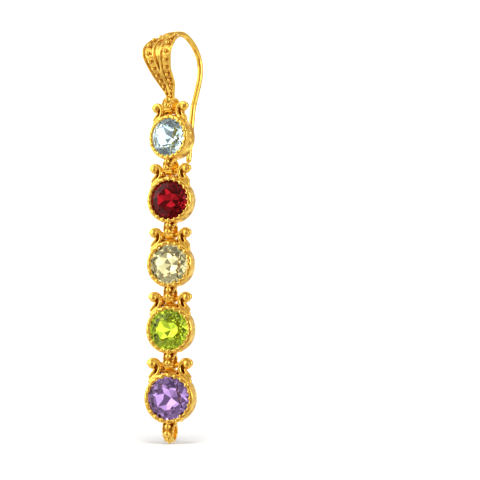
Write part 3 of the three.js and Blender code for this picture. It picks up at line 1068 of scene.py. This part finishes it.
# The paper's height over the floor at each distance from the earring, in metres.
PAPER = ((0, 0), (0.5, 0), (0.72, 0), (0.84, 0.04), (0.9, 0.15))
PAPER_TOP = (0.9, 0.8)
PAPER_STEPS = 40
PAPER_SIDES = 96


def paper_room(floor):
    """A round sheet of paper that lies on the floor and curves up into a wall all round."""
    profile = [(r, 0, floor + rise) for r, rise in PAPER] + [(PAPER_TOP[0], 0, PAPER_TOP[1])]
    curve = along(profile, PAPER_STEPS)
    places, faces = [], []
    for turn in np.linspace(0, 2 * math.pi, PAPER_SIDES + 1):
        places += [(r * math.cos(turn), r * math.sin(turn), z) for r, _, z in curve]
    count = len(curve)
    for i in range(PAPER_SIDES):
        for k in range(count - 1):
            here = i * count + k
            faces.append((here, here + count, here + count + 1, here + 1))
    return places, faces


def sweep_material():
    """Matt white paper with a faint tooth, painted darker near the earring and lighter farther off: painted
    shade and painted light that even out how the lamps light it.
    """
    material, shader, add, links = new_material("white_paper")
    place = add("ShaderNodeTexCoord").outputs["Object"]
    tooth = add("ShaderNodeTexNoise", {"Scale": 900.0, "Detail": 2.0}, Vector=place)
    away = add("ShaderNodeVectorMath", {"operation": "LENGTH"}, (place,))
    # Painted shade near the earring and painted light farther off: the paper's colour rises with its distance
    # from the earring.
    ends = {"From Min": 0.07, "From Max": 0.32, "To Min": 0.47, "To Max": 0.88}
    lit = add("ShaderNodeMapRange", ends, Value=away.outputs["Value"])
    tone = add("ShaderNodeMapRange", {"To Min": 0.98, "To Max": 1.02}, Value=tooth.outputs[0])
    shade = add("ShaderNodeMath", {"operation": "MULTIPLY"}, (lit.outputs[0], tone.outputs[0]))
    links.new(shade.outputs[0], shader.inputs["Base Color"])
    shader.inputs["Roughness"].default_value = 0.9
    # The paper glows faintly: painted light that keeps it white.
    shader.inputs["Emission Color"].default_value = (1, 1, 1, 1)
    shader.inputs["Emission Strength"].default_value = 0.05
    return material


class EARRING_OT_stage(bpy.types.Operator):
    """Lay the floor, hang the lights and place the camera"""

    bl_idname = "earring.stage"
    bl_label = "Stage"

    def execute(self, context):
        stage = context.scene.earring.stage
        mesh = mesh_of("paper_room", paper_room(-stage.floor))
        mesh.materials.append(sweep_material())
        sweep = placed("paper_room", mesh)
        sweep.visible_shadow = False
        sweep.visible_glossy = False
        sweep.visible_transmission = False
        front = (math.sin(stage.azimuth), -math.cos(stage.azimuth), 0)
        for light in SIDE_LIGHTS:
            softbox(**light).data.use_shadow = False
        near = TOP_LIGHT["towards_camera"]
        above = (near * front[0], near * front[1], TOP_LIGHT["height"])
        top = softbox("top_softbox", above, TOP_LIGHT["size"], TOP_LIGHT["power"])
        top.visible_glossy = False
        top.visible_transmission = False
        context.scene.world = self.room(front)
        context.scene.view_settings.view_transform = "Standard"
        self.place_camera(context, stage, Vector(front))
        return {"FINISHED"}

    def room(self, front):
        """A white room, dim where the photographer stands, warm in the metal and grey in the stones."""
        world = bpy.data.worlds.new("studio")
        world.use_nodes = True
        tree = world.node_tree
        add = adder(tree)
        place = add("ShaderNodeTexCoord").outputs["Generated"]
        towards = add("ShaderNodeVectorMath", {"operation": "DOT_PRODUCT", 1: front}, (place,))
        dimming = {"From Min": 0.5, "From Max": 0.92, "To Min": 1.0, "To Max": 0.1}
        dim = add("ShaderNodeMapRange", dimming, Value=towards.outputs["Value"])
        panels = add("ShaderNodeTexNoise", {"Scale": 3.0, "Detail": 1.5}, Vector=place)
        contrast = {"From Min": 0.42, "From Max": 0.58, "To Min": 0.08, "To Max": 1.0}
        bright = add("ShaderNodeMapRange", contrast, Value=panels.outputs[0])
        both = add("ShaderNodeMath", {"operation": "MULTIPLY"}, (dim.outputs[0], bright.outputs[0]))
        warm = {"data_type": "RGBA", 6: (0.36, 0.18, 0.06, 1), 7: (1.3, 1.3, 1.3, 1)}
        grey = {"data_type": "RGBA", 6: (0.15, 0.15, 0.16, 1), 7: (2.5, 2.5, 2.5, 1)}
        in_metal = add("ShaderNodeMix", warm, (both.outputs[0],))
        in_stone = add("ShaderNodeMix", grey, (both.outputs[0],))
        path = add("ShaderNodeLightPath")
        rays = (path.outputs["Is Glossy Ray"], path.outputs["Is Transmission Ray"])
        mirrored = add("ShaderNodeMath", {"operation": "SUBTRACT"}, rays)
        shown = add("ShaderNodeMix", {"data_type": "RGBA"}, (mirrored.outputs[0],))
        tree.links.new(in_stone.outputs[2], shown.inputs[6])
        tree.links.new(in_metal.outputs[2], shown.inputs[7])
        tree.links.new(shown.outputs[2], tree.nodes["Background"].inputs["Color"])
        return world

    def place_camera(self, context, stage, front):
        """Looks at a point beside the hanging line, from a little below the earring's middle."""
        line = Vector((*JOINTS[0]["pos_m"][:2], 0))
        right = Vector((math.cos(stage.azimuth), math.sin(stage.azimuth), 0))
        beside = line + right * stage.aim_right
        aim = beside - Vector((0, 0, stage.aim_below))
        eye = beside + front * stage.distance - Vector((0, 0, stage.eye))
        data = bpy.data.cameras.new("camera")
        data.lens = stage.lens
        data.clip_start, data.clip_end = 0.01, 10
        camera = placed("camera", data)
        camera.location = eye
        camera.rotation_euler = (aim - eye).to_track_quat("-Z", "Y").to_euler()
        context.scene.camera = camera


class EARRING_PT_panel(bpy.types.Panel):
    """The earring's steps and sizes"""

    bl_label = "Earring"
    bl_idname = "EARRING_PT_panel"
    bl_space_type = "VIEW_3D"
    bl_region_type = "UI"
    bl_category = "Earring"

    def draw(self, context):
        layout = self.layout
        for operator in OPERATORS:
            layout.operator(operator.bl_idname)
        look = context.scene.earring
        for group in (look.stone, look.setting, look.ear_wire, look.metal, look.stage):
            box = layout.box()
            for key in group.bl_rna.properties.keys():
                if key not in ("rna_type", "name"):
                    box.prop(group, key)


LOOKS = (EARRING_PG_stone, EARRING_PG_setting, EARRING_PG_ear_wire, EARRING_PG_metal, EARRING_PG_stage)
OPERATORS = (EARRING_OT_ear_wire, EARRING_OT_settings, EARRING_OT_stones, EARRING_OT_stage)
CLASSES = LOOKS + (EARRING_PG_all,) + OPERATORS + (EARRING_PT_panel,)


def register():
    for cls in CLASSES:
        bpy.utils.register_class(cls)
    bpy.types.Scene.earring = PointerProperty(type=EARRING_PG_all)


def unregister():
    del bpy.types.Scene.earring
    for cls in reversed(CLASSES):
        bpy.utils.unregister_class(cls)


def main():
    register()
    bpy.ops.earring.ear_wire()
    bpy.ops.earring.settings()
    bpy.ops.earring.stones()
    bpy.ops.earring.stage()


if __name__ == "__main__":
    main()
